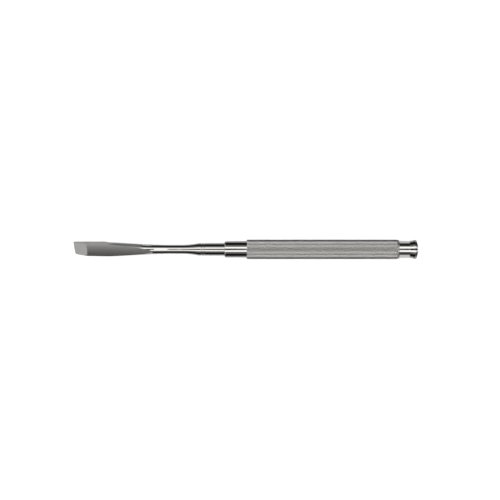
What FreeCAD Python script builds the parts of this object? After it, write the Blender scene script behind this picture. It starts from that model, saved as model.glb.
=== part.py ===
import FreeCAD, Part
import math
import os
import Sketcher

# Bone chisel in millimetres, lying on a surface along X, cutting edge towards -X, +Z up.
# It is two pieces of steel. The working end is forged, turned and ground from one bar: a flat
# blade with a single skewed bevel, a round shank, a ringed neck and the tang behind it.
# The handle is turned from a second bar: a plain collar, a diamond-knurled grip and a tail with
# a flared lip and a domed end to strike. The tang is pressed into the collar's bore.
# Each piece is drawn about the X axis, with stations counted from the leading corner of the
# cutting edge, and its Placement then lays it on the surface.

SIZES = [
    ("blade_length", 38.8, "leading corner of the edge to where the front grind runs out"),
    ("shank_length", 23.6, "run-out of the front grind to the full diameter of the neck"),
    ("neck_length", 12.2, "full diameter of the neck to its seat on the collar"),
    ("collar_length", 11.0, "seat of the neck to the front of the grip"),
    ("grip_length", 75.2, "knurled length"),
    ("tail_length", 9.2, "back of the grip to the top of the dome"),
    ("blade_width", 6.84, "at the back of the parallel blade"),
    ("tip_width", 6.88, "across the cutting edge"),
    ("parallel_length", 15.4, "blade before its shoulders"),
    ("shoulder_length", 3.1, "hollow from the shoulders to the taper"),
    ("taper_angle", 3.32, "side of the round taper behind the blade, degrees"),
    ("corner_allowance", 0.05, "bar left outside the ground corners"),
    ("back_depth", 1.77, "ground back below the axis"),
    ("back_flat_length", 20.0, "flat of the back before the wheel lifts"),
    ("back_wheel_radius", 200.0, "run-out of the back grind"),
    ("grind_angle", 2.66, "front grind to the axis, degrees"),
    ("crown_radius", 25.0, "front grind across the blade"),
    ("bevel_angle", 22.0, "bevel to the back, degrees"),
    ("edge_skew", 8.2, "cutting edge to a square one, degrees"),
    ("blade_roll", 27.5, "turn of the blade about the axis as the chisel lies, degrees"),
    ("shank_diameter", 4.6, "at the run-out of the front grind"),
    ("waist_diameter", 4.3, "thinnest part of the shank"),
    ("waist_station", 8.6, "run-out of the front grind to the waist"),
    ("flare_length", 8.9, "waist to neck, a hollow arc and then a round one"),
    ("flare_hollow_length", 8.1, "hollow part of the flare"),
    ("neck_diameter", 6.06, "neck"),
    ("ring_width", 0.4, "rings cut in the neck, across their mouths"),
    ("ring_angle", 90.0, "flanks of a ring, degrees"),
    ("ring_station", 0.9, "full diameter of the neck to the first ring"),
    ("ring_spacing", 1.3, "one ring to the next"),
    ("ring_count", 2, "rings"),
    ("neck_chamfer", 0.2, "edge of the neck at its seat"),
    ("tang_diameter", 4.0, "tang"),
    ("tang_length", 25.0, "tang behind the seat"),
    ("tang_chamfer", 0.5, "lead at the end of the tang"),
    ("tang_clearance", 0.03, "between the tang and its bore, on the radius"),
    ("bore_clearance", 1.0, "beyond the end of the tang"),
    ("drill_angle", 118.0, "point of the drill that made the bore, degrees"),
    ("collar_diameter", 8.0, "collar, and the core of the bar under the grip"),
    ("collar_chamfer", 0.5, "front edge of the collar"),
    ("grip_diameter", 9.6, "over the points of the knurl"),
    ("knurl_depth", 0.3, "points of the knurl to their roots, on the radius"),
    ("knurl_count", 24, "points round the grip"),
    ("knurl_pitch", 1.75, "points along the grip"),
    ("grip_chamfer_length", 1.2, "back edge of the grip, along the axis"),
    ("grip_chamfer_depth", 0.5, "back edge of the grip, on the radius"),
    ("tail_diameter", 8.26, "tail"),
    ("lip_diameter", 9.56, "flared lip, just clear of what the grip lies on"),
    ("lip_flare_radius", 4.6, "hollow from the tail to the lip"),
    ("lip_rounding", 1.0, "edge of the lip"),
    ("dome_radius", 15.0, "end that is struck"),
]

# Stations along the axis, as expressions of the sheet.
NECK_START = "Sizes.blade_length + Sizes.shank_length"
SEAT = NECK_START + " + Sizes.neck_length"
GRIP_START = SEAT + " + Sizes.collar_length"
GRIP_END = GRIP_START + " + Sizes.grip_length"
OVERALL = GRIP_END + " + Sizes.tail_length"

# The grip lies on a flat between two points of its knurl, so the axis is this high.
AXIS_HEIGHT = "Sizes.grip_diameter / 2 * cos(90 / Sizes.knurl_count)"


def make_sheet(doc):
    """The driving dimensions, one alias a row."""
    sheet = doc.addObject("Spreadsheet::Sheet", "Sizes")
    for row, (alias, value, note) in enumerate(SIZES, start=1):
        sheet.set(f"A{row}", alias)
        sheet.set(f"B{row}", str(value))
        sheet.setAlias(f"B{row}", alias)
        sheet.set(f"C{row}", note)
    doc.recompute()
    return sheet


def origin_plane(body, role):
    """One of the body's own origin planes or axes."""
    return next(item for item in body.Origin.OriginFeatures if item.Role == role)


def new_sketch(body, name, role):
    """A sketch on one of the body's origin planes."""
    sketch = body.newObject("Sketcher::SketchObject", name)
    sketch.AttachmentSupport = [(origin_plane(body, role), "")]
    sketch.MapMode = "FlatFace"
    return sketch


def turned_about(axis):
    """A placement with the axis of a turn whose angle an expression then sets."""
    return FreeCAD.Placement(FreeCAD.Vector(), FreeCAD.Rotation(axis, 1))


def arc_of_radius(start, end, radius, bulge):
    """An arc from start to end that swells to the left (1) or right (-1) of the way there."""
    along = end - start
    left = FreeCAD.Vector(-along.y, along.x, 0).normalize()
    half = along.Length / 2
    rise = radius - math.sqrt(radius ** 2 - half ** 2)
    return Part.Arc(start, (start + end) / 2 + left * (bulge * rise), end)


def arc_along(start, direction, end):
    """An arc that leaves start in a direction and reaches end."""
    across = FreeCAD.Vector(-direction.y, direction.x, 0).normalize()
    chord = end - start
    centre = start + across * (chord.Length ** 2 / (2 * chord.dot(across)))
    outward = (start + end) / 2 - centre
    middle = centre + outward.normalize() * (start - centre).Length
    return Part.Arc(start, middle, end)


def bind(sketch, constraint, expression):
    """Adds a dimension and ties it to the sheet."""
    index = sketch.addConstraint(constraint)
    sketch.setExpression(f"Constraints[{index}]", expression)


def closed_outline(sketch, corners, arcs):
    """Draws a closed outline with every corner placed from the sheet.

    corners holds the expressions of each corner's two coordinates. arcs gives the round edges
    by the corner that each starts from: "before" or "after" where it runs on from the straight
    edge on that side of it, or else the expression of its radius and its bulge.
    """
    points = [FreeCAD.Vector(sketch.evalExpression(x), sketch.evalExpression(y), 0) for x, y in corners]
    count = len(points)
    edges, ends, smooth = [], {}, set()
    for index, start in enumerate(points):
        end = points[(index + 1) % count]
        shape = arcs.get(index)
        if shape is None:
            edge = Part.LineSegment(start, end)
        elif shape == "before":
            edge = arc_along(start, start - points[index - 1], end)
            smooth.add(index)
        elif shape == "after":
            edge = arc_along(end, end - points[(index + 2) % count], start)
            smooth.add((index + 1) % count)
        else:
            edge = arc_of_radius(start, end, sketch.evalExpression(shape[0]), shape[1])
        number = sketch.addGeometry(edge)
        edges.append(number)
        ends[number] = (1, 2) if (sketch.getPoint(number, 1) - start).Length < 1e-6 else (2, 1)
    for index, (x, y) in enumerate(corners):
        before, after = edges[index - 1], edges[index]
        joint = "Tangent" if index in smooth else "Coincident"
        sketch.addConstraint(Sketcher.Constraint(joint, before, ends[before][1], after, ends[after][0]))
        bind(sketch, Sketcher.Constraint("DistanceX", -1, 1, after, ends[after][0], points[index].x), x)
        bind(sketch, Sketcher.Constraint("DistanceY", -1, 1, after, ends[after][0], points[index].y), y)
    for index, shape in arcs.items():
        if shape not in ("before", "after"):
            bind(sketch, Sketcher.Constraint("Radius", edges[index], sketch.evalExpression(shape[0])), shape[0])


def revolve(body, kind, name, sketch):
    """Turns a sketch all the way round the X axis, as added or removed metal."""
    turned = body.newObject(kind, name)
    turned.Profile = sketch
    turned.ReferenceAxis = (origin_plane(body, "X_Axis"), [""])
    turned.Angle = 360
    body.Document.recompute()
    return turned


def cut_through(body, name, sketch, length, reversed_way=False, both_ways=False):
    """Cuts a sketch away along its normal, and makes sure that it took metal off."""
    before = body.Shape.Volume
    pocket = body.newObject("PartDesign::Pocket", name)
    pocket.Profile = sketch
    pocket.SideType = "Symmetric" if both_ways else "One side"
    pocket.Reversed = reversed_way
    pocket.setExpression("Length", length)
    body.Document.recompute()
    if body.Shape.Volume >= before:
        raise RuntimeError(f"{name} cuts nothing")
    return pocket


def make_working_end(doc):
    """Blade, shank, neck and tang."""
    body = doc.addObject("PartDesign::Body", "working_end")
    turn_blank(body)
    grind_back(body)
    grind_sides(body)
    grind_front(body)
    grind_bevel(body)
    cut_rings(body)
    body.Placement = turned_about(FreeCAD.Vector(1, 0, 0))
    body.setExpression("Placement.Rotation.Angle", "Sizes.blade_roll * 1 deg")
    return body


def turn_blank(body):
    """The round blank: blade end, taper, waist, flare, neck and tang."""
    shank = "Sizes.shank_diameter / 2"
    waist = "Sizes.waist_diameter / 2"
    neck = "Sizes.neck_diameter / 2"
    tang = "Sizes.tang_diameter / 2"
    blade = "sqrt((Sizes.blade_width / 2) ^ 2 + Sizes.back_depth ^ 2) + Sizes.corner_allowance"
    taper_start = "Sizes.parallel_length + Sizes.shoulder_length"
    taper = f"{shank} + (Sizes.blade_length - ({taper_start})) * tan(Sizes.taper_angle)"
    flare_start = f"{NECK_START} - Sizes.flare_length"
    flare_middle = f"{flare_start} + Sizes.flare_hollow_length"
    rise = f"({neck} - {waist}) * Sizes.flare_hollow_length / Sizes.flare_length"
    tang_end = f"{SEAT} + Sizes.tang_length"
    corners = [
        ("0", "0"),
        ("0", blade),
        ("Sizes.parallel_length", blade),
        (taper_start, taper),
        ("Sizes.blade_length", shank),
        ("Sizes.blade_length + Sizes.waist_station", waist),
        (flare_start, waist),
        (flare_middle, f"{waist} + {rise}"),
        (NECK_START, neck),
        (f"{SEAT} - Sizes.neck_chamfer", neck),
        (SEAT, f"{neck} - Sizes.neck_chamfer"),
        (SEAT, tang),
        (f"{tang_end} - Sizes.tang_chamfer", tang),
        (tang_end, f"{tang} - Sizes.tang_chamfer"),
        (tang_end, "0"),
    ]
    shoulder_arc, hollow_arc, round_arc = 2, 6, 7
    sketch = new_sketch(body, "blank_outline", "XY_Plane")
    closed_outline(sketch, corners, {
        shoulder_arc: "after",
        hollow_arc: "before",
        round_arc: "after",
    })
    revolve(body, "PartDesign::Revolution", "blank", sketch)


def grind_back(body):
    """The flat back, which runs out on the shank in the curve of the wheel."""
    deep = "-Sizes.blade_width"
    back = "-Sizes.back_depth"
    wheel = "Sizes.back_wheel_radius"
    lift = f"{wheel} - sqrt({wheel} ^ 2 - (Sizes.blade_length - Sizes.back_flat_length) ^ 2)"
    corners = [
        ("-Sizes.back_depth", back),
        ("Sizes.back_flat_length", back),
        ("Sizes.blade_length", f"{back} - ({lift})"),
        ("Sizes.blade_length", deep),
        ("-Sizes.back_depth", deep),
    ]
    wheel_arc = 1
    sketch = new_sketch(body, "back_outline", "XZ_Plane")
    closed_outline(sketch, corners, {wheel_arc: "before"})
    cut_through(body, "back_grind", sketch, "Sizes.blade_width * 2", both_ways=True)


def grind_sides(body):
    """The two flat sides, a little further apart at the tip."""
    lead = "-Sizes.back_depth"
    slope = "(Sizes.blade_width - Sizes.tip_width) / 2 / Sizes.parallel_length"
    far = "Sizes.blade_width"
    corners = [
        (lead, f"Sizes.tip_width / 2 - Sizes.back_depth * {slope}"),
        ("Sizes.blade_length", f"Sizes.tip_width / 2 + Sizes.blade_length * {slope}"),
        ("Sizes.blade_length", far),
        (lead, far),
    ]
    sketch = new_sketch(body, "side_outline", "XY_Plane")
    closed_outline(sketch, corners, {})
    side = cut_through(body, "side_grind", sketch, "Sizes.blade_width * 2", both_ways=True)
    other = body.newObject("PartDesign::Mirrored", "other_side_grind")
    other.Originals = [side]
    other.MirrorPlane = (origin_plane(body, "XZ_Plane"), [""])
    body.Tip = other
    body.Document.recompute()


def grind_front(body):
    """The crowned front, ground at a slope that runs out on the shank."""
    wide = "Sizes.blade_width"
    crown = "Sizes.crown_radius"
    corners = [
        (wide, f"sqrt({crown} ^ 2 - {wide} ^ 2) - {crown}"),
        (wide, wide),
        (f"-{wide}", wide),
        (f"-{wide}", f"sqrt({crown} ^ 2 - {wide} ^ 2) - {crown}"),
    ]
    crown_arc = 3
    sketch = new_sketch(body, "front_outline", "YZ_Plane")
    sketch.AttachmentOffset = turned_about(FreeCAD.Vector(1, 0, 0))
    sketch.setExpression(
        "AttachmentOffset.Base.y",
        "Sizes.shank_diameter / 2 - Sizes.blade_length * tan(Sizes.grind_angle)")
    sketch.setExpression("AttachmentOffset.Rotation.Angle", "-Sizes.grind_angle * 1 deg")
    closed_outline(sketch, corners, {crown_arc: (crown, 1)})
    cut_through(body, "front_grind", sketch, "Sizes.blade_length + Sizes.waist_station", reversed_way=True)


def grind_bevel(body):
    """The single bevel, whose edge lies on the back and is skewed across the blade."""
    reach = "Sizes.parallel_length"
    far = "Sizes.blade_width"
    corners = [
        ("0", "0"),
        (reach, f"{reach} * tan(Sizes.bevel_angle)"),
        (reach, f"{reach} * tan(Sizes.bevel_angle) + {far}"),
        (f"-{far}", f"{reach} * tan(Sizes.bevel_angle) + {far}"),
        (f"-{far}", f"-{far}"),
        ("0", f"-{far}"),
    ]
    sketch = new_sketch(body, "bevel_outline", "XZ_Plane")
    sketch.AttachmentOffset = turned_about(FreeCAD.Vector(0, 1, 0))
    sketch.setExpression("AttachmentOffset.Base.y", "-Sizes.back_depth")
    sketch.setExpression("AttachmentOffset.Base.z", "-Sizes.tip_width / 2")
    sketch.setExpression("AttachmentOffset.Rotation.Angle", "Sizes.edge_skew * 1 deg")
    closed_outline(sketch, corners, {})
    cut_through(body, "bevel_grind", sketch, "Sizes.blade_width * 4", both_ways=True)


def cut_rings(body):
    """The rings round the front of the neck, cut by a pointed tool."""
    middle = f"{NECK_START} + Sizes.ring_station"
    neck = "Sizes.neck_diameter / 2"
    slope = "tan(Sizes.ring_angle / 2)"
    depth = f"Sizes.ring_width / 2 / {slope}"
    corners = [
        (middle, f"{neck} - {depth}"),
        (f"{middle} + Sizes.ring_width", f"{neck} - {depth} + Sizes.ring_width / {slope}"),
        (f"{middle} - Sizes.ring_width", f"{neck} - {depth} + Sizes.ring_width / {slope}"),
    ]
    sketch = new_sketch(body, "ring_outline", "XY_Plane")
    closed_outline(sketch, corners, {})
    groove = revolve(body, "PartDesign::Groove", "ring", sketch)
    rings = body.newObject("PartDesign::LinearPattern", "rings")
    rings.Originals = [groove]
    rings.Direction = (origin_plane(body, "X_Axis"), [""])
    rings.setExpression("Length", "Sizes.ring_spacing * (Sizes.ring_count - 1)")
    rings.setExpression("Occurrences", "Sizes.ring_count")
    body.Tip = rings
    body.Document.recompute()


def turn_bar(doc):
    """The bored bar of the handle: collar, core of the grip, tail, lip and dome.

    Hollow, lip and dome run into each other, so each arc ends on the line between its own
    centre and the next one's.
    """
    body = doc.addObject("PartDesign::Body", "turned_bar")
    bore = "Sizes.tang_diameter / 2 + Sizes.tang_clearance"
    bore_end = f"{SEAT} + Sizes.tang_length + Sizes.bore_clearance"
    collar = "Sizes.collar_diameter / 2"
    tail = "Sizes.tail_diameter / 2"
    flare, rim, dome = "Sizes.lip_flare_radius", "Sizes.lip_rounding", "Sizes.dome_radius"
    dome_x = f"({OVERALL} - {dome})"
    rim_y = f"(Sizes.lip_diameter / 2 - {rim})"
    rim_x = f"({dome_x} + sqrt(({dome} - {rim}) ^ 2 - {rim_y} ^ 2))"
    flare_y = f"({tail} + {flare})"
    flare_x = f"({rim_x} - sqrt(({flare} + {rim}) ^ 2 - ({flare_y} - {rim_y}) ^ 2))"
    to_rim = f"{flare} / ({flare} + {rim})"
    from_dome = f"{dome} / ({dome} - {rim})"
    corners = [
        (SEAT, bore),
        (SEAT, f"{collar} - Sizes.collar_chamfer"),
        (f"{SEAT} + Sizes.collar_chamfer", collar),
        (GRIP_END, collar),
        (GRIP_END, tail),
        (flare_x, tail),
        (f"{flare_x} + ({rim_x} - {flare_x}) * {to_rim}", f"{flare_y} + ({rim_y} - {flare_y}) * {to_rim}"),
        (f"{dome_x} + ({rim_x} - {dome_x}) * {from_dome}", f"{rim_y} * {from_dome}"),
        (OVERALL, "0"),
        (f"{bore_end} + ({bore}) / tan(Sizes.drill_angle / 2)", "0"),
        (bore_end, bore),
    ]
    flare_arc, rim_arc, dome_arc = 5, 6, 7
    sketch = new_sketch(body, "bar_outline", "XY_Plane")
    closed_outline(sketch, corners, {
        flare_arc: (flare, -1),
        rim_arc: (rim, 1),
        dome_arc: (dome, 1),
    })
    revolve(body, "PartDesign::Revolution", "bar", sketch)
    return body


def make_knurl(doc, sheet):
    """The band of the grip that carries the knurl: rows of four-sided points.

    Each point has the deepest places of the knurl on its left and right in its own row, and
    in front and behind in the rows beside it, so the rows are half a pitch apart.
    """
    bore = sheet.tang_diameter / 2 + sheet.tang_clearance
    inner = (bore + sheet.collar_diameter / 2) / 2
    start = sheet.evalExpression(GRIP_START)
    count = int(sheet.knurl_count)
    rows = 2 * round(sheet.grip_length / sheet.knurl_pitch)
    step = sheet.grip_length / rows
    peak = sheet.grip_diameter / 2
    valley = peak - sheet.knurl_depth
    chamfer_slope = sheet.grip_chamfer_depth / sheet.grip_chamfer_length

    def place(row, slot):
        """The point in a row, peak or valley by turns, kept under the chamfer at the back."""
        to_end = (rows - row) * step
        limit = peak - sheet.grip_chamfer_depth + to_end * chamfer_slope
        radius = min(peak if (row + slot) % 2 == 0 else valley, limit)
        angle = math.pi * (slot + 0.5) / count
        return FreeCAD.Vector(start + row * step, radius * math.cos(angle), radius * math.sin(angle))

    triangles = []
    for row in range(rows + 1):
        for slot in range(row % 2, 2 * count, 2):
            top, left, right = place(row, slot), place(row, slot - 1), place(row, slot + 1)
            if row > 0:
                back = place(row - 1, slot)
                triangles += [(top, back, right), (top, left, back)]
            if row < rows:
                front = place(row + 1, slot)
                triangles += [(top, right, front), (top, front, left)]
    faces = [Part.Face(Part.makePolygon([*corners, corners[0]])) for corners in triangles]

    axis = FreeCAD.Vector(1, 0, 0)
    for row in (0, rows):
        rim = [place(row, slot) for slot in range(2 * count)]
        centre = FreeCAD.Vector(start + row * step, 0, 0)
        hole = Part.Wire(Part.makeCircle(inner, centre, -axis))
        faces.append(Part.Face([Part.makePolygon([*rim, rim[0]]), hole]))
    tube = Part.makeCylinder(inner, sheet.grip_length, FreeCAD.Vector(start, 0, 0), axis)
    faces += [face.reversed() for face in tube.Faces if isinstance(face.Surface, Part.Cylinder)]

    skin = Part.makeCompound(faces)
    skin.sewShape()
    band = doc.addObject("Part::Feature", "knurl_band")
    band.Shape = Part.makeSolid(skin.Shells[0])
    band.Placement = FreeCAD.Placement()
    return band


def make_handle(doc, sheet):
    """The turned bar with its knurled band."""
    handle = doc.addObject("Part::Fuse", "handle")
    handle.Base = turn_bar(doc)
    handle.Tool = make_knurl(doc, sheet)
    handle.Refine = False
    return handle


def lay_down(piece):
    """Puts a piece on the surface, with the middle of the chisel's length at the origin."""
    piece.setExpression("Placement.Base.x", f"-({OVERALL}) / 2")
    piece.setExpression("Placement.Base.z", AXIS_HEIGHT)


def check(doc, pieces):
    """Stops where an object failed or a piece has no sound solid."""
    for item in doc.Objects:
        if "Invalid" in item.State or "Error" in item.State:
            raise RuntimeError(f"{item.Label} failed: {item.State}")
    for piece in pieces:
        if piece.Shape.isNull() or not piece.Shape.isValid() or len(piece.Shape.Solids) != 1:
            raise RuntimeError(f"{piece.Label} is not one sound solid")


def main():
    """Builds the chisel and writes one file for each of its pieces."""
    doc = FreeCAD.newDocument("bone_chisel")
    sheet = make_sheet(doc)
    pieces = [make_working_end(doc), make_handle(doc, sheet)]
    for piece in pieces:
        lay_down(piece)
    doc.recompute()
    check(doc, pieces)
    os.makedirs("parts", exist_ok=True)
    for piece in pieces:
        piece.Shape.exportStep(f"parts/{piece.Label}.step")


main()
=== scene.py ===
import logging
import math
from dataclasses import dataclass
from enum import Enum

import bmesh
import bpy
from mathutils import Matrix, Vector


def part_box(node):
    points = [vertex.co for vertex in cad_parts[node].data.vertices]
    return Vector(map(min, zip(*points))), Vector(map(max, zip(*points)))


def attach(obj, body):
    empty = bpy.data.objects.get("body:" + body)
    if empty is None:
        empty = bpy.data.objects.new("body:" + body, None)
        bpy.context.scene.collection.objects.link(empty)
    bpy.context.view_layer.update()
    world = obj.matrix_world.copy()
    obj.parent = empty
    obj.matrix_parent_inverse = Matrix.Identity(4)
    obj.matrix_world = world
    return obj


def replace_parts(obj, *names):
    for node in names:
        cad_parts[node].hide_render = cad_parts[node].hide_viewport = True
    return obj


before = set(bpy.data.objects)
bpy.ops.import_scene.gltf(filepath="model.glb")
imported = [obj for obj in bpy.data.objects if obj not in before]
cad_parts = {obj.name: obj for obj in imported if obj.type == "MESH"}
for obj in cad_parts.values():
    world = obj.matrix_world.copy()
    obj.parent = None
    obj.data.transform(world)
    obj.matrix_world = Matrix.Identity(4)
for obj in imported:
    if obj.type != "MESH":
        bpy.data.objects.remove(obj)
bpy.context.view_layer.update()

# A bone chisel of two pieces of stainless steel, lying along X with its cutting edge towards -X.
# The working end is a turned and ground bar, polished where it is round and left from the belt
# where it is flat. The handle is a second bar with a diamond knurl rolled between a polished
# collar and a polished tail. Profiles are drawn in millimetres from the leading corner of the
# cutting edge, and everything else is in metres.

MM = 0.001
BODY = "root"
X_AXIS = Vector((1, 0, 0))
# The colour sockets of a Mix node, whose names repeat for its other kinds of value.
MIX_A, MIX_B, MIX_COLOUR = 6, 7, 2
# How near two vertices count as one, how near a vertex counts as on a cutting plane, and how near
# an edge counts as on the rim of a length, in metres.
SAME_VERTEX, ON_PLANE, ON_RIM = 1e-7, 1e-8, 1e-6
# How many finer layers the noise of a finish's marks has, and how strong each is to the one before.
MARK_LAYERS, MARK_GAIN = 3.0, 0.6
# Half a turn, in degrees.
HALF_TURN = 180

log = logging.getLogger("bone_chisel")


def linear_colour(code: str) -> tuple[float, float, float, float]:
    """Turns an sRGB hex colour to the linear values that shaders take.

    Args:
        code: The colour as "#RRGGBB".

    Returns:
        Red, green, blue and an alpha of 1, each from 0 to 1.
    """
    channels = [int(code[start:start + 2], 16) / 255 for start in (1, 3, 5)]
    red, green, blue = (c / 12.92 if c <= 0.04045 else ((c + 0.055) / 1.055) ** 2.4 for c in channels)
    return red, green, blue, 1.0


def add_node(tree: bpy.types.NodeTree, kind: str, links: dict | None = None, **settings) -> bpy.types.Node:
    """Adds a node with its settings and links.

    Args:
        tree: The node tree that takes it.
        kind: The node's type, such as "ShaderNodeMath".
        links: For each input's name or number, an output socket to link or a value to set.
        **settings: The node's own properties.

    Returns:
        The new node.
    """
    node = tree.nodes.new(kind)
    for name, value in settings.items():
        setattr(node, name, value)
    for key, value in (links or {}).items():
        if isinstance(value, bpy.types.NodeSocket):
            tree.links.new(value, node.inputs[key])
        else:
            node.inputs[key].default_value = value
    return node


@dataclass(frozen=True)
class Axis:
    """The chisel's axis in the frame, and the place where stations are counted from."""

    height: float
    start: float

    @classmethod
    def from_frame(cls) -> "Axis":
        """Finds the axis half-way up the handle, which lies on the surface."""
        low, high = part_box("handle")
        return cls(height=(low.z + high.z) / 2, start=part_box("working_end")[0].x)

    def point(self, station: float, radius: float = 0.0) -> Vector:
        """Places a point of a profile.

        Args:
            station: Millimetres behind the leading corner of the edge.
            radius: Millimetres from the axis, upwards.

        Returns:
            The point in metres.
        """
        return Vector((self.start + station * MM, 0, self.height + radius * MM))

    def spot(self) -> Vector:
        """A point of the axis, to turn things about."""
        return Vector((0, 0, self.height))


AXIS = Axis.from_frame()


class Lay(Enum):
    """Which way the marks of a finish run."""

    ROUND = "turned, round the axis"
    ALONG = "ground, along the blade"
    EVEN = "honed or rolled, the same every way"


@dataclass(frozen=True)
class Finish:
    """One surface of stainless steel, with the marks of its tool measured in millimetres."""

    name: str
    colour: str
    roughness: float
    roughness_spread: float
    lay: Lay
    mark_width: float
    mark_length: float
    mark_depth: float
    metallic: float = 1.0

    def material(self) -> bpy.types.Material:
        """Builds the material, once for each finish.

        Returns:
            The material, whose marks are drawn in real millimetres on Object coordinates.
        """
        known = bpy.data.materials.get(self.name)
        if known:
            return known
        material = bpy.data.materials.new(self.name)
        material.use_nodes = True
        tree = material.node_tree
        tree.nodes.clear()
        marks = self.marks(tree)
        bump = add_node(tree, "ShaderNodeBump", {
            "Height": marks,
            "Strength": 1.0,
            "Distance": self.mark_depth * MM,
        })
        shader = add_node(tree, "ShaderNodeBsdfPrincipled", {
            "Base Color": linear_colour(self.colour),
            "Metallic": self.metallic,
            "Roughness": self.sheen(tree, marks),
            "Normal": bump.outputs["Normal"],
        })
        add_node(tree, "ShaderNodeOutputMaterial", {"Surface": shader.outputs["BSDF"]})
        return material

    def sheen(self, tree: bpy.types.NodeTree, marks: bpy.types.NodeSocket) -> bpy.types.NodeSocket:
        """Spreads the roughness with the marks.

        Args:
            tree: The material's node tree.
            marks: The marks, from 0 to 1.

        Returns:
            The roughness.
        """
        return add_node(tree, "ShaderNodeMapRange", {
            "Value": marks,
            "To Min": self.roughness - self.roughness_spread,
            "To Max": self.roughness + self.roughness_spread,
        }).outputs["Result"]

    def marks(self, tree: bpy.types.NodeTree) -> bpy.types.NodeSocket:
        """Draws the marks of the tool as stretched noise.

        Args:
            tree: The material's node tree.

        Returns:
            A value from 0 to 1, high between the marks and low in them.
        """
        across, along = 1 / (self.mark_width * MM), 1 / (self.mark_length * MM)
        scales = {
            Lay.ROUND: (across, along, along),
            Lay.ALONG: (along, across, across),
            Lay.EVEN: (across, across, across),
        }
        place = add_node(tree, "ShaderNodeTexCoord")
        stretched = add_node(tree, "ShaderNodeMapping", {
            "Vector": place.outputs["Object"],
            "Scale": scales[self.lay],
        })
        noise = add_node(tree, "ShaderNodeTexNoise", {
            "Vector": stretched.outputs["Vector"],
            "Scale": 1.0,
            "Detail": MARK_LAYERS,
            "Roughness": MARK_GAIN,
        })
        return noise.outputs["Fac"]


@dataclass(frozen=True)
class FadingFinish(Finish):
    """A polish that comes in along X, between two stations, over steel that is satin before."""

    satin: float = 0.5
    fade: tuple[float, float] = (30.5, 36.5)

    def sheen(self, tree: bpy.types.NodeTree, marks: bpy.types.NodeSocket) -> bpy.types.NodeSocket:
        """Spreads the roughness with the marks, and lowers it along X.

        Args:
            tree: The material's node tree.
            marks: The marks, from 0 to 1.

        Returns:
            The roughness.
        """
        place = add_node(tree, "ShaderNodeTexCoord")
        axes = add_node(tree, "ShaderNodeSeparateXYZ", {"Vector": place.outputs["Object"]})
        return add_node(tree, "ShaderNodeMapRange", {
            "Value": axes.outputs["X"],
            "From Min": AXIS.point(self.fade[0]).x,
            "From Max": AXIS.point(self.fade[1]).x,
            "To Min": self.satin,
            "To Max": super().sheen(tree, marks),
        }, interpolation_type="SMOOTHSTEP").outputs["Result"]


# Polished stainless bar: a mirror with the faint rings that a buffing wheel leaves round it.
POLISHED = Finish(
    name="polished_stainless", colour="#DCDBD8", roughness=0.045, roughness_spread=0.015,
    lay=Lay.ROUND, mark_width=0.25, mark_length=6.0, mark_depth=0.0002)
# The same polish on the shank, which fades into satin where the blade begins.
POLISHED_SHANK = FadingFinish(
    name="polished_stainless_shank", colour="#DCDBD8", roughness=0.045, roughness_spread=0.015,
    lay=Lay.ROUND, mark_width=0.25, mark_length=6.0, mark_depth=0.0002)
# Stainless from a fine belt: satin, streaked along the blade.
BELT_GROUND = Finish(
    name="belt_ground_stainless", colour="#DCDBD8", roughness=0.36, roughness_spread=0.05,
    lay=Lay.ALONG, mark_width=0.12, mark_length=5.0, mark_depth=0.004)
# Stainless from a hone: matt and hardly shining, with its grain drawn coarser so that it shows.
HONED = Finish(
    name="honed_stainless", colour="#D4D3D0", roughness=0.52, roughness_spread=0.1,
    lay=Lay.EVEN, mark_width=0.6, mark_length=0.6, mark_depth=0.04, metallic=0.85)
# Knurl rolled into the bar: satin flanks, pushed up and never polished. Their unevenness is drawn
# coarser than it is, so that it shows.
KNURLED = Finish(
    name="knurled_stainless", colour="#DCDBD8", roughness=0.34, roughness_spread=0.14,
    lay=Lay.EVEN, mark_width=0.9, mark_length=0.9, mark_depth=0.035)

# The finishes of each piece, in the order of its faces' material numbers.
WORKING_END_FINISHES = [POLISHED_SHANK, BELT_GROUND, HONED]
HANDLE_FINISHES = [POLISHED, KNURLED]


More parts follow.
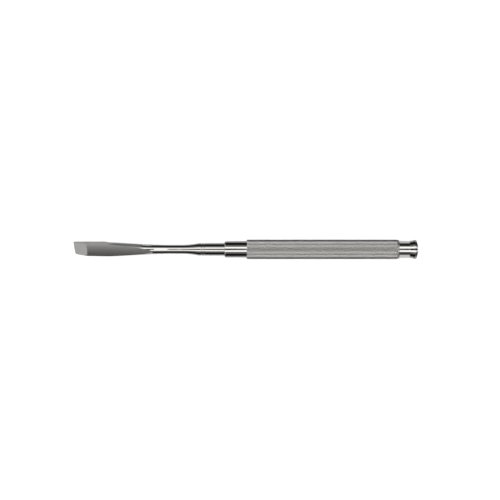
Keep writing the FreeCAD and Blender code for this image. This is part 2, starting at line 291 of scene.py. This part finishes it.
class Profile:
    """A chain of vertices in a mesh, drawn as a lathe operator reads it: straights and arcs."""

    def __init__(self, mesh: bmesh.types.BMesh, station: float, radius: float) -> None:
        """Starts the chain.

        Args:
            mesh: The mesh that takes the chain.
            station: Where it starts along the axis, in millimetres.
            radius: How far from the axis it starts, in millimetres.
        """
        self.mesh = mesh
        self.here = Vector((station, radius))
        self.verts = [mesh.verts.new(AXIS.point(station, radius))]
        self.edges: list[bmesh.types.BMEdge] = []

    def line(self, station: float, radius: float, steps: int = 1) -> "Profile":
        """Goes straight to a place, in equal steps.

        Args:
            station: Where the line ends along the axis.
            radius: How far from the axis it ends.
            steps: How many edges it is made of.

        Returns:
            The profile, for the next call.
        """
        end = Vector((station, radius))
        start = self.here
        for step in range(1, steps + 1):
            self._add(start.lerp(end, step / steps))
        return self

    def arc(self, station: float, radius: float, curve: float, steps: int = 8) -> "Profile":
        """Goes to a place along an arc.

        Args:
            station: Where the arc ends along the axis.
            radius: How far from the axis it ends.
            curve: The arc's own radius, positive where it swells away from the axis.
            steps: How many edges it is made of.

        Returns:
            The profile, for the next call.
        """
        start, end = self.here, Vector((station, radius))
        chord = end - start
        left = Vector((-chord.y, chord.x)).normalized()
        depth = math.sqrt(curve ** 2 - chord.length_squared / 4)
        centre = (start + end) / 2 - left * math.copysign(depth, curve)
        first = math.atan2(start.y - centre.y, start.x - centre.x)
        last = math.atan2(end.y - centre.y, end.x - centre.x)
        turn = (last - first + math.pi) % (2 * math.pi) - math.pi
        for step in range(1, steps + 1):
            angle = first + turn * step / steps
            self._add(centre + Vector((math.cos(angle), math.sin(angle))) * abs(curve))
        return self

    def _add(self, place: Vector) -> None:
        """Adds the next vertex and the edge to it."""
        vert = self.mesh.verts.new(AXIS.point(place.x, place.y))
        self.edges.append(self.mesh.edges.new((self.verts[-1], vert)))
        self.verts.append(vert)
        self.here = place

    def turn(self, steps: int) -> None:
        """Spins the chain all the way round the axis, and closes it where it meets itself.

        Args:
            steps: How many facets go round.
        """
        bmesh.ops.spin(
            self.mesh, geom=[*self.verts, *self.edges], cent=AXIS.spot(), axis=X_AXIS,
            dvec=(0, 0, 0), angle=2 * math.pi, steps=steps, use_merge=True, use_duplicate=False)


def level_arc(run: float, rise: float) -> float:
    """Works out the radius of an arc that is level at one of its ends.

    Args:
        run: How far it goes along.
        rise: How far it goes up.

    Returns:
        Its radius.
    """
    return (run ** 2 + rise ** 2) / (2 * rise)


def seal(mesh: bmesh.types.BMesh) -> None:
    """Merges doubles and turns the faces outwards, where the mesh is sound.

    Args:
        mesh: The mesh to seal.
    """
    bmesh.ops.remove_doubles(mesh, verts=mesh.verts, dist=SAME_VERTEX)
    bmesh.ops.recalc_face_normals(mesh, faces=mesh.faces)


def new_piece(name: str, mesh: bmesh.types.BMesh, finishes: list[Finish]) -> bpy.types.Object:
    """Makes an object from a finished mesh.

    Args:
        name: The object's name.
        mesh: Its mesh, which is freed.
        finishes: Its finishes, in the order of its faces' material numbers.

    Returns:
        The object, in the scene.
    """
    data = bpy.data.meshes.new(name)
    mesh.to_mesh(data)
    mesh.free()
    for finish in finishes:
        data.materials.append(finish.material())
    piece = bpy.data.objects.new(name, data)
    bpy.context.scene.collection.objects.link(piece)
    return piece


def keep_edges_crisp(piece: bpy.types.Object, angle: float) -> None:
    """Shades a piece smooth, with its edges sharp where faces turn or finishes change.

    Args:
        piece: The piece.
        angle: The turn, in radians, past which an edge stays sharp.
    """
    data = piece.data
    mesh = bmesh.new()
    mesh.from_mesh(data)
    for face in mesh.faces:
        face.smooth = True
    for edge in mesh.edges:
        turned = len(edge.link_faces) == 2 and edge.calc_face_angle(0.0) > angle
        changes = len({face.material_index for face in edge.link_faces}) > 1
        edge.smooth = not (turned or changes)
    mesh.to_mesh(data)
    mesh.free()


@dataclass
class WorkingEnd:
    """Blade, shank, flare, neck and tang, ground from one turned blank.

    Sizes are in millimetres, and places are stations behind the leading corner of the edge.
    """

    blade_length: float = 38.8
    neck_start: float = 62.4
    seat: float = 74.6
    blade_width: float = 6.84
    tip_width: float = 6.88
    parallel_length: float = 15.4
    shoulder_end: float = 18.5
    shoulder_curve: float = 20.1
    taper_angle: float = math.radians(3.32)
    corner_allowance: float = 0.05
    back_depth: float = 1.77
    back_flat: float = 20.0
    back_wheel: float = 200.0
    grind_angle: float = math.radians(2.66)
    crown: float = 25.0
    crown_offset: float = 0.9
    bevel_angle: float = math.radians(22)
    edge_skew: float = math.radians(8.2)
    roll: float = math.radians(27.5)
    shank_radius: float = 2.3
    waist_radius: float = 2.15
    waist: float = 47.4
    flare_start: float = 53.5
    flare_middle: float = 61.6
    neck_radius: float = 3.03
    ring_width: float = 0.4
    ring_stations: tuple[float, ...] = (63.3, 64.6)
    neck_chamfer: float = 0.2
    tang_radius: float = 2.0
    tang_length: float = 25.0
    tang_chamfer: float = 0.5
    cutter_lead: float = 2.0
    drum_run_out: float = 6.0
    bevel_cutter_widening: float = 4.0
    wheel_steps: int = 16
    drum_steps: int = 32
    facets: int = 192
    crisp_angle: float = math.radians(9)

    def build(self) -> bpy.types.Object:
        """Turns the blank and grinds it.

        Returns:
            The piece, dressed and riding on the chisel's body.
        """
        piece = new_piece("working_end_steel", self.blank(), WORKING_END_FINISHES)
        for name, cutter in (("back", self.back_wheel_cut()), ("sides", self.side_cuts()),
                             ("front", self.front_cut()), ("bevel", self.bevel_cut())):
            self.grind(piece, name, cutter)
        self.roll_over(piece)
        keep_edges_crisp(piece, self.crisp_angle)
        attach(piece, BODY)
        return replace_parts(piece, "working_end")

    def blank(self) -> bmesh.types.BMesh:
        """Turns the round blank from the blade's end to the end of the tang.

        Returns:
            Its closed mesh.
        """
        mesh = bmesh.new()
        blade = math.hypot(self.blade_width / 2, self.back_depth) + self.corner_allowance
        taper = self.shank_radius + (self.blade_length - self.shoulder_end) * math.tan(self.taper_angle)
        rise = (self.flare_middle - self.flare_start) / (self.neck_start - self.flare_start)
        middle = self.waist_radius + (self.neck_radius - self.waist_radius) * rise
        tang_end = self.seat + self.tang_length
        outline = Profile(mesh, 0, 0).line(0, blade).line(self.parallel_length, blade, steps=4)
        outline.arc(self.shoulder_end, taper, -self.shoulder_curve, steps=12)
        outline.line(self.blade_length, self.shank_radius, steps=8)
        outline.line(self.waist, self.waist_radius, steps=4)
        outline.line(self.flare_start, self.waist_radius)
        hollow = level_arc(self.flare_middle - self.flare_start, middle - self.waist_radius)
        outline.arc(self.flare_middle, middle, -hollow, steps=20)
        rounded = level_arc(self.neck_start - self.flare_middle, self.neck_radius - middle)
        outline.arc(self.neck_start, self.neck_radius, rounded, steps=8)
        for station in self.ring_stations:
            self.ring(outline, station)
        outline.line(self.seat - self.neck_chamfer, self.neck_radius)
        outline.line(self.seat, self.neck_radius - self.neck_chamfer).line(self.seat, self.tang_radius)
        outline.line(tang_end - self.tang_chamfer, self.tang_radius)
        outline.line(tang_end, self.tang_radius - self.tang_chamfer).line(tang_end, 0)
        outline.turn(self.facets)
        seal(mesh)
        return mesh

    def ring(self, outline: Profile, station: float) -> None:
        """Adds one of the grooves that ring the neck.

        Args:
            outline: The blank's outline, which has reached the neck.
            station: The middle of the groove.
        """
        half = self.ring_width / 2
        outline.line(station - half, self.neck_radius)
        outline.line(station, self.neck_radius - half)
        outline.line(station + half, self.neck_radius)

    def slab(self, corners: list[tuple[float, float]], finish: Finish) -> bmesh.types.BMesh:
        """Makes a cutter: an outline in the upright plane of the axis, drawn out sideways.

        Args:
            corners: Stations and heights over the axis, in millimetres.
            finish: The finish that its faces leave on the steel.

        Returns:
            Its closed mesh, centred on the axis and wider than the blank.
        """
        mesh = bmesh.new()
        reach = Vector((0, self.blade_width * MM, 0))
        verts = [mesh.verts.new(AXIS.point(*corner) - reach) for corner in corners]
        face = mesh.faces.new(verts)
        drawn = bmesh.ops.extrude_face_region(mesh, geom=[face])["geom"]
        moved = [item for item in drawn if isinstance(item, bmesh.types.BMVert)]
        bmesh.ops.translate(mesh, verts=moved, vec=reach * 2)
        for side in mesh.faces:
            side.material_index = WORKING_END_FINISHES.index(finish)
        bmesh.ops.recalc_face_normals(mesh, faces=mesh.faces)
        return mesh

    def back_wheel_cut(self) -> bmesh.types.BMesh:
        """The cutter of the flat back, with the wheel's curve where it lifts out."""
        deep = -self.blade_width
        corners = [(-self.cutter_lead, deep), (-self.cutter_lead, -self.back_depth)]
        for step in range(self.wheel_steps + 1):
            away = (self.blade_length - self.back_flat) * step / self.wheel_steps
            lift = self.back_wheel - math.sqrt(self.back_wheel ** 2 - away ** 2)
            corners.append((self.back_flat + away, -self.back_depth - lift))
        corners.append((self.blade_length, deep))
        return self.slab(corners, BELT_GROUND)

    def side_cuts(self) -> bmesh.types.BMesh:
        """The cutter of the two flat sides, a little nearer together at the tip."""
        mesh = bmesh.new()
        slope = (self.blade_width - self.tip_width) / 2 / self.parallel_length
        far = self.blade_width
        for side in (1, -1):
            lead, end = -self.cutter_lead, self.blade_length
            near = [(lead, self.tip_width / 2 + lead * slope), (end, self.tip_width / 2 + end * slope)]
            outline = [*near, (end, far), (lead, far)]
            verts = [mesh.verts.new(AXIS.point(station, -far) + Vector((0, side * out * MM, 0)))
                     for station, out in outline]
            drawn = bmesh.ops.extrude_face_region(mesh, geom=[mesh.faces.new(verts)])["geom"]
            moved = [item for item in drawn if isinstance(item, bmesh.types.BMVert)]
            bmesh.ops.translate(mesh, verts=moved, vec=(0, 0, 2 * far * MM))
        for face in mesh.faces:
            face.material_index = WORKING_END_FINISHES.index(HONED)
        bmesh.ops.recalc_face_normals(mesh, faces=mesh.faces)
        return mesh

    def front_cut(self) -> bmesh.types.BMesh:
        """The cutter of the front: a wide drum laid along the sloped blade, hollow downwards."""
        mesh = bmesh.new()
        wide, lead = self.blade_width, self.cutter_lead
        length = (self.blade_length + lead + self.drum_run_out) / math.cos(self.grind_angle)
        foot = self.shank_radius - self.blade_length * math.tan(self.grind_angle)
        verts = []
        for step in range(self.drum_steps + 1):
            across = wide * (2 * step / self.drum_steps - 1)
            drop = self.crown - math.sqrt(self.crown ** 2 - (across - self.crown_offset) ** 2)
            verts.append(mesh.verts.new(Vector((-lead, across, -drop)) * MM))
        verts.append(mesh.verts.new(Vector((-lead, wide, wide)) * MM))
        verts.append(mesh.verts.new(Vector((-lead, -wide, wide)) * MM))
        drawn = bmesh.ops.extrude_face_region(mesh, geom=[mesh.faces.new(verts)])["geom"]
        moved = [item for item in drawn if isinstance(item, bmesh.types.BMVert)]
        bmesh.ops.translate(mesh, verts=moved, vec=(length * MM, 0, 0))
        tilt = Matrix.Rotation(-self.grind_angle, 4, "Y")
        bmesh.ops.transform(mesh, matrix=Matrix.Translation(AXIS.point(0, foot)) @ tilt, verts=mesh.verts)
        for face in mesh.faces:
            face.material_index = WORKING_END_FINISHES.index(BELT_GROUND)
        bmesh.ops.recalc_face_normals(mesh, faces=mesh.faces)
        return mesh

    def bevel_cut(self) -> bmesh.types.BMesh:
        """The cutter of the bevel, skewed across the blade so that one corner leads."""
        reach, far = self.parallel_length, self.blade_width
        rise = reach * math.tan(self.bevel_angle)
        corners = [(0, 0), (reach, rise), (reach, rise + far),
                   (-far, rise + far), (-far, -far), (0, -far)]
        mesh = self.slab([(x, z - self.back_depth) for x, z in corners], HONED)
        about = AXIS.point(0) + Vector((0, self.tip_width / 2 * MM, 0))
        bmesh.ops.scale(mesh, vec=(1, self.bevel_cutter_widening, 1), verts=mesh.verts)
        skew = Matrix.Rotation(self.edge_skew, 4, "Z")
        bmesh.ops.transform(mesh, matrix=self.turn_about(about, skew), verts=mesh.verts)
        return mesh

    @staticmethod
    def turn_about(spot: Vector, turn: Matrix) -> Matrix:
        """A turn about a point instead of the origin."""
        return Matrix.Translation(spot) @ turn @ Matrix.Translation(-spot)

    def grind(self, piece: bpy.types.Object, name: str, mesh: bmesh.types.BMesh) -> None:
        """Takes a cutter's space away from the blank.

        Args:
            piece: The blank.
            name: What is ground.
            mesh: The cutter, whose faces carry the number of the finish they leave.
        """
        cutter = new_piece(name, mesh, WORKING_END_FINISHES)
        cut = piece.modifiers.new(name, "BOOLEAN")
        cut.operation = "DIFFERENCE"
        cut.solver = "EXACT"
        cut.object = cutter
        evaluated = piece.evaluated_get(bpy.context.evaluated_depsgraph_get())
        ground = bpy.data.meshes.new_from_object(evaluated)
        piece.modifiers.clear()
        old, piece.data = piece.data, ground
        bpy.data.meshes.remove(old)
        bpy.data.objects.remove(cutter)

    def roll_over(self, piece: bpy.types.Object) -> None:
        """Turns the finished piece about the axis, as the blade lies.

        Args:
            piece: The piece.
        """
        turn = self.turn_about(AXIS.spot(), Matrix.Rotation(self.roll, 4, "X"))
        piece.data.transform(turn)


@dataclass
class Handle:
    """Collar, knurled grip, tail and lip, one bar with the bore for the tang.

    Sizes are in millimetres, and places are stations behind the leading corner of the edge.
    """

    seat: float = 74.6
    grip_start: float = 85.6
    grip_end: float = 160.8
    end: float = 170.0
    bore_radius: float = 2.03
    bore_depth: float = 26.0
    drill_angle: float = math.radians(118)
    collar_radius: float = 4.0
    collar_chamfer: float = 0.5
    grip_radius: float = 4.785
    knurl_depth: float = 0.26
    knurl_round: int = 30
    knurl_along: int = 54
    land: float = 0.06
    spare_rows: int = 2
    chamfer_length: float = 1.2
    chamfer_depth: float = 0.5
    tail_radius: float = 4.13
    lip_radius: float = 4.78
    lip_flare: float = 4.6
    lip_rounding: float = 1.0
    dome: float = 15.0
    shading_length: float = 0.1
    facets: int = 192
    crisp_angle: float = math.radians(14)

    def build(self) -> bpy.types.Object:
        """Makes the bar in three lengths and joins them.

        Returns:
            The piece, dressed and riding on the chisel's body.
        """
        mesh = bmesh.new()
        self.front(mesh)
        self.tail(mesh)
        self.knurl(mesh)
        seal(mesh)
        piece = new_piece("handle_steel", mesh, HANDLE_FINISHES)
        keep_edges_crisp(piece, self.crisp_angle)
        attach(piece, BODY)
        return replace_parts(piece, "handle")

    def front(self, mesh: bmesh.types.BMesh) -> None:
        """Turns the bore, the seat and the collar.

        Args:
            mesh: The handle's mesh.
        """
        bore_end = self.seat + self.bore_depth
        point = bore_end + self.bore_radius / math.tan(self.drill_angle / 2)
        outline = Profile(mesh, point, 0).line(bore_end, self.bore_radius)
        outline.line(self.seat, self.bore_radius)
        outline.line(self.seat, self.collar_radius - self.collar_chamfer)
        outline.line(self.seat + self.collar_chamfer, self.collar_radius)
        outline.line(self.grip_start, self.collar_radius, steps=4)
        outline.turn(self.facets)

    def tail(self, mesh: bmesh.types.BMesh) -> None:
        """Turns the tail, the hollow up to its lip, the lip's round edge and the dome.

        Hollow, edge and dome run into each other, each arc ending on the line between its own
        centre and the next one's. A short length before the hollow keeps the tail's shading
        straight up to it.

        Args:
            mesh: The handle's mesh.
        """
        flare, rim, dome = self.lip_flare, self.lip_rounding, self.dome
        dome_centre = Vector((self.end - dome, 0))
        rim_y = self.lip_radius - rim
        rim_centre = Vector((dome_centre.x + math.sqrt((dome - rim) ** 2 - rim_y ** 2), rim_y))
        flare_y = self.tail_radius + flare
        run = math.sqrt((flare + rim) ** 2 - (flare_y - rim_y) ** 2)
        flare_centre = Vector((rim_centre.x - run, flare_y))
        to_rim = flare_centre.lerp(rim_centre, flare / (flare + rim))
        to_dome = dome_centre + (rim_centre - dome_centre) * dome / (dome - rim)
        outline = Profile(mesh, self.grip_end, self.tail_radius)
        outline.line(flare_centre.x - self.shading_length, self.tail_radius, steps=4)
        outline.line(flare_centre.x, self.tail_radius)
        outline.arc(to_rim.x, to_rim.y, -flare, steps=10)
        outline.arc(to_dome.x, to_dome.y, rim, steps=10)
        outline.arc(self.end, 0, dome, steps=14)
        outline.turn(self.facets)

    def knurl(self, mesh: bmesh.types.BMesh) -> None:
        """Rolls the diamonds and closes the band on to the collar and the tail.

        The band starts with spare rows at both ends, which are trimmed off. Each diamond is inset
        until only its land is left, and raised.

        Args:
            mesh: The handle's mesh.
        """
        band = bmesh.new()
        slots, rows = 2 * self.knurl_round, 2 * self.knurl_along
        step = (self.grip_end - self.grip_start) / rows
        valley = self.grip_radius - self.knurl_depth
        spare = self.spare_rows
        outline = Profile(band, self.grip_start - spare * step, valley)
        outline.line(self.grip_end + spare * step, valley, steps=rows + 2 * spare)
        outline.turn(slots)
        bmesh.ops.remove_doubles(band, verts=band.verts, dist=SAME_VERTEX)
        diamonds = self.diamonds(band, step)
        bmesh.ops.recalc_face_normals(band, faces=band.faces)
        half_round = valley * math.sin(math.pi / self.knurl_round)
        flank = step * half_round / math.hypot(step, half_round) - self.land
        bmesh.ops.inset_individual(
            band, faces=diamonds, thickness=flank * MM, depth=self.knurl_depth * MM,
            use_even_offset=True, use_interpolate=True, use_relative_offset=False)
        self.trim(band)
        for face in band.faces:
            face.material_index = HANDLE_FINISHES.index(KNURLED)
        data = bpy.data.meshes.new("band")
        band.to_mesh(data)
        band.free()
        mesh.from_mesh(data)
        bpy.data.meshes.remove(data)
        self.close(mesh)

    def diamonds(self, band: bmesh.types.BMesh, step: float) -> list[bmesh.types.BMFace]:
        """Turns a tube of square cells into one of diamonds that stand on their corners.

        Args:
            band: The tube, whose vertices stand in rows and slots.
            step: The distance between its rows, in millimetres.

        Returns:
            The whole diamonds, without the half ones at the ends.
        """
        def odd(vert: bmesh.types.BMVert) -> bool:
            """Tells whether a vertex lies on an odd cell of the board."""
            row = round((vert.co.x - AXIS.start) / MM / step - self.grip_start / step)
            angle = math.atan2(vert.co.y, vert.co.z - AXIS.height)
            slot = round(angle / math.pi * self.knurl_round)
            return (row + slot) % 2 == 1

        keep = [vert for vert in band.verts if odd(vert)]
        gone = [vert for vert in band.verts if not odd(vert) and not vert.is_boundary]
        bmesh.ops.connect_verts(band, verts=keep)
        bmesh.ops.dissolve_verts(band, verts=gone)
        return [face for face in band.faces if len(face.verts) == 4]

    def trim(self, band: bmesh.types.BMesh) -> None:
        """Cuts the band to length and turns the chamfer on its back edge.

        Args:
            band: The knurled band, longer than the grip.
        """
        for station, way in ((self.grip_start, -1), (self.grip_end, 1)):
            bmesh.ops.bisect_plane(
                band, geom=[*band.verts, *band.edges, *band.faces], dist=ON_PLANE,
                plane_co=AXIS.point(station), plane_no=X_AXIS * way, clear_outer=True)
        slope = self.chamfer_depth / self.chamfer_length
        for vert in band.verts:
            to_end = self.grip_end - (vert.co.x - AXIS.start) / MM
            limit = (self.grip_radius - self.chamfer_depth + max(to_end, 0.0) * slope) * MM
            arm = Vector((0, vert.co.y, vert.co.z - AXIS.height))
            if arm.length > limit:
                vert.co -= arm * (1 - limit / arm.length)

    def close(self, mesh: bmesh.types.BMesh) -> None:
        """Joins the band's two rims to the collar and the tail with flat rings of faces.

        The rings come out twisted: faces of theirs cross the inside of the bar, and the band's
        faces then point inwards.

        Args:
            mesh: The handle's mesh, with its three lengths still apart.
        """
        for station in (self.grip_start, self.grip_end):
            place = AXIS.point(station).x
            rims = [edge for edge in mesh.edges
                    if edge.is_boundary and all(abs(vert.co.x - place) < ON_RIM for vert in edge.verts)]
            bmesh.ops.bridge_loops(mesh, edges=rims)


@dataclass(frozen=True)
class TentEnd:
    """One end wall of the tent, which reflections reach that lean far enough along X."""

    tone: str
    share: float
    lean: tuple[float, float]


# What stands round the chisel, as tones by degrees from overhead: a white tent whose sides are
# dark cloth down to the pale table. Past the tail the cloth is another one on either side.
TENT = ((0, "#FAFAFA"), (34, "#FAFAFA"), (37, "#6C6C6C"), (63, "#5A5A5A"), (67, "#0C0C0C"),
        (105, "#0A0A0A"), (112, "#787878"), (130, "#8C8C8C"), (180, "#969696"))
TAIL_FAR_SIDE = ((0, "#FAFAFA"), (37, "#FAFAFA"), (39, "#4B4B4B"), (50, "#444444"), (58, "#202020"),
                 (86, "#1C1C1C"), (92, "#8C8C8C"), (112, "#B4B4B4"), (180, "#C8C8C8"))
TAIL_NEAR_SIDE = ((0, "#FAFAFA"), (36, "#FAFAFA"), (38, "#2D2D2D"), (56, "#272727"), (66, "#464646"),
                  (83, "#787878"), (90, "#A0A0A0"), (95, "#D2D2D2"), (112, "#D2D2D2"),
                  (120, "#B0B0B0"), (180, "#B0B0B0"))
# The lens looks down through a narrow slit in the tent. Shares of it and of the tail's cloth are
# given by how far a reflection leans along X.
SLIT_SHARES = ((-0.0215, 1.0), (-0.02, 0.4), (-0.0193, 0.4), (-0.0162, 1.0), (0.002, 1.0),
               (0.005, 0.0), (0.028, 0.0), (0.033, 1.0))
TAIL_SHARES = ((0.02, 0.0), (0.034, 1.0), (0.055, 1.0), (0.08, 0.5))
# The tent is paler at its end in front of the edge and darker at its end past the tail.
TENT_ENDS = (
    TentEnd(tone="#E6E6E6", share=0.25, lean=(-0.62, -0.8)),
    TentEnd(tone="#161616", share=0.35, lean=(0.3, 0.5)),
)


@dataclass
class Studio:
    """Pale floor, a wide soft lamp, the tent that polished steel mirrors, and the camera."""

    floor_size: float = 4.0
    floor_colour: str = "#F4F4F3"
    floor_roughness: float = 0.9
    lamp_size: float = 1.6
    lamp_height: float = 1.3
    lamp_power: float = 34.0
    lens: float = 300.0
    sensor: float = 36.0
    nearest: float = 0.01
    distance: float = 2.0537
    aim: tuple[float, float] = (0.002144, -0.00032)
    tent_strength: float = 1.41
    slit_tone: str = "#040404"
    slit_edge: tuple[float, float] = (11.0, 12.0)
    lean_range: tuple[float, float] = (-0.05, 0.15)
    tail_sides: tuple[float, float] = (0.0, 0.001)

    def build(self) -> None:
        """Sets up everything round the chisel."""
        self.lay_floor()
        self.hang_lamp()
        self.pitch_tent()
        self.place_camera()
        bpy.context.scene.view_settings.view_transform = "Standard"

    def lay_floor(self) -> None:
        """Lays the pale floor under the chisel."""
        mesh = bmesh.new()
        bmesh.ops.create_grid(mesh, x_segments=1, y_segments=1, size=self.floor_size / 2)
        data = bpy.data.meshes.new("floor")
        mesh.to_mesh(data)
        mesh.free()
        floor = bpy.data.objects.new("floor", data)
        bpy.context.scene.collection.objects.link(floor)
        material = bpy.data.materials.new("pale_board")
        material.use_nodes = True
        shader = material.node_tree.nodes["Principled BSDF"]
        shader.inputs["Base Color"].default_value = linear_colour(self.floor_colour)
        shader.inputs["Roughness"].default_value = self.floor_roughness
        data.materials.append(material)
        floor.visible_glossy = False

    def hang_lamp(self) -> None:
        """Hangs the wide lamp that lights the floor and isn't mirrored in the steel."""
        lamp = bpy.data.lights.new("soft_lamp", "AREA")
        lamp.shape = "SQUARE"
        lamp.size = self.lamp_size
        lamp.energy = self.lamp_power
        hung = bpy.data.objects.new("soft_lamp", lamp)
        hung.location = (0, 0, self.lamp_height)
        hung.visible_glossy = False
        hung.visible_camera = False
        bpy.context.scene.collection.objects.link(hung)

    def pitch_tent(self) -> None:
        """Puts the tent round the chisel, and the floor's own tone behind it for the camera."""
        world = bpy.data.worlds.new("light_tent")
        bpy.context.scene.world = world
        world.use_nodes = True
        tree = world.node_tree
        tree.nodes.clear()
        walls = self.walls(tree)
        seen = add_node(tree, "ShaderNodeLightPath").outputs["Is Camera Ray"]
        glow = add_node(tree, "ShaderNodeBackground", {
            "Color": self.mix(tree, seen, walls, linear_colour(self.floor_colour)),
            "Strength": self.tent_strength,
        })
        add_node(tree, "ShaderNodeOutputWorld", {"Surface": glow.outputs["Background"]})

    def walls(self, tree: bpy.types.NodeTree) -> bpy.types.NodeSocket:
        """Shades the tent by its angle from overhead, measured round the chisel.

        The angle is twice that of the steel that mirrors it upwards, so that the bands of tone
        run straight along the chisel and over its flares.

        Args:
            tree: The world's node tree.

        Returns:
            The tone in every direction.
        """
        place = add_node(tree, "ShaderNodeTexCoord")
        axes = add_node(tree, "ShaderNodeSeparateXYZ", {"Vector": place.outputs["Generated"]}).outputs
        side = add_node(tree, "ShaderNodeMath", {0: axes["Y"]}, operation="ABSOLUTE")
        raised = add_node(tree, "ShaderNodeMath", {0: axes["Z"], 1: 1.0}, operation="ADD")
        angle = add_node(tree, "ShaderNodeMath", {0: side.outputs["Value"], 1: raised.outputs["Value"]},
                         operation="ARCTAN2")
        turn = add_node(tree, "ShaderNodeMath", {0: angle.outputs["Value"], 1: math.pi / 2},
                        operation="DIVIDE").outputs["Value"]
        lean = self.beyond(tree, axes["X"], *self.lean_range)
        tail = self.mix(tree, self.beyond(tree, axes["Y"], *self.tail_sides),
                        self.bands(tree, turn, TAIL_NEAR_SIDE), self.bands(tree, turn, TAIL_FAR_SIDE))
        cloth = self.mix(tree, self.shares(tree, lean, TAIL_SHARES), self.bands(tree, turn, TENT), tail)
        covered = self.beyond(tree, turn, *[degrees / HALF_TURN for degrees in self.slit_edge])
        slit = self.mix(tree, covered, linear_colour(self.slit_tone), cloth)
        cloth = self.mix(tree, self.shares(tree, lean, SLIT_SHARES), cloth, slit)
        for end in TENT_ENDS:
            reached = self.beyond(tree, axes["X"], *end.lean, end.share)
            cloth = self.mix(tree, reached, cloth, linear_colour(end.tone))
        return cloth

    @staticmethod
    def beyond(tree: bpy.types.NodeTree, value: bpy.types.NodeSocket, start: float, end: float,
               share: float = 1.0) -> bpy.types.NodeSocket:
        """Gives 0 until a value reaches a start, and a share once it is past an end."""
        return add_node(tree, "ShaderNodeMapRange", {
            "Value": value,
            "From Min": start,
            "From Max": end,
            "To Max": share,
        }).outputs["Result"]

    @staticmethod
    def mix(tree: bpy.types.NodeTree, share: bpy.types.NodeSocket, before: bpy.types.NodeSocket | tuple,
            after: bpy.types.NodeSocket | tuple) -> bpy.types.NodeSocket:
        """Passes from one colour to another as a share grows."""
        return add_node(tree, "ShaderNodeMix", {
            "Factor": share,
            MIX_A: before,
            MIX_B: after,
        }, data_type="RGBA").outputs[MIX_COLOUR]

    def bands(self, tree: bpy.types.NodeTree, turn: bpy.types.NodeSocket,
              stops: tuple[tuple[float, str], ...]) -> bpy.types.NodeSocket:
        """Paints tones along an angle.

        Args:
            tree: The node tree.
            turn: The angle as a share of half a turn.
            stops: Degrees and the sRGB tone there.

        Returns:
            The colour at the angle.
        """
        return self.ramp(tree, turn, [(degrees / HALF_TURN, linear_colour(tone))
                                      for degrees, tone in stops])

    def shares(self, tree: bpy.types.NodeTree, lean: bpy.types.NodeSocket,
               stops: tuple[tuple[float, float], ...]) -> bpy.types.NodeSocket:
        """Gives a share by how far a reflection leans along X.

        Args:
            tree: The node tree.
            lean: The lean, as a place in the range of leans.
            stops: Leans and the share there.

        Returns:
            The share.
        """
        low, high = self.lean_range
        return self.ramp(tree, lean, [((at - low) / (high - low), (share, share, share, 1.0))
                                      for at, share in stops])

    @staticmethod
    def ramp(tree: bpy.types.NodeTree, value: bpy.types.NodeSocket,
             stops: list[tuple[float, tuple]]) -> bpy.types.NodeSocket:
        """Adds a colour ramp with its stops.

        Args:
            tree: The node tree.
            value: The value that it reads, from 0 to 1.
            stops: Each place and the colour there.

        Returns:
            The colour.
        """
        node = add_node(tree, "ShaderNodeValToRGB", {"Fac": value})
        elements = node.color_ramp.elements
        for element, stop in ((elements[0], stops[0]), (elements[1], stops[-1])):
            element.position, element.color = stop
        for place, colour in stops[1:-1]:
            elements.new(place).color = colour
        return node.outputs["Color"]

    def place_camera(self) -> None:
        """Hangs the camera over the chisel, looking straight down."""
        lens = bpy.data.cameras.new("camera")
        lens.lens = self.lens
        lens.sensor_width = self.sensor
        lens.clip_start = self.nearest
        camera = bpy.data.objects.new("camera", lens)
        camera.location = (self.aim[0], self.aim[1], AXIS.height + self.distance)
        bpy.context.scene.collection.objects.link(camera)
        bpy.context.scene.camera = camera


def main() -> None:
    """Builds the chisel and its studio."""
    logging.basicConfig(level=logging.INFO, format="%(message)s")
    for part in (WorkingEnd(), Handle()):
        piece = part.build()
        log.info("%s: %d faces", piece.name, len(piece.data.polygons))
    Studio().build()


if __name__ == "__main__":
    main()
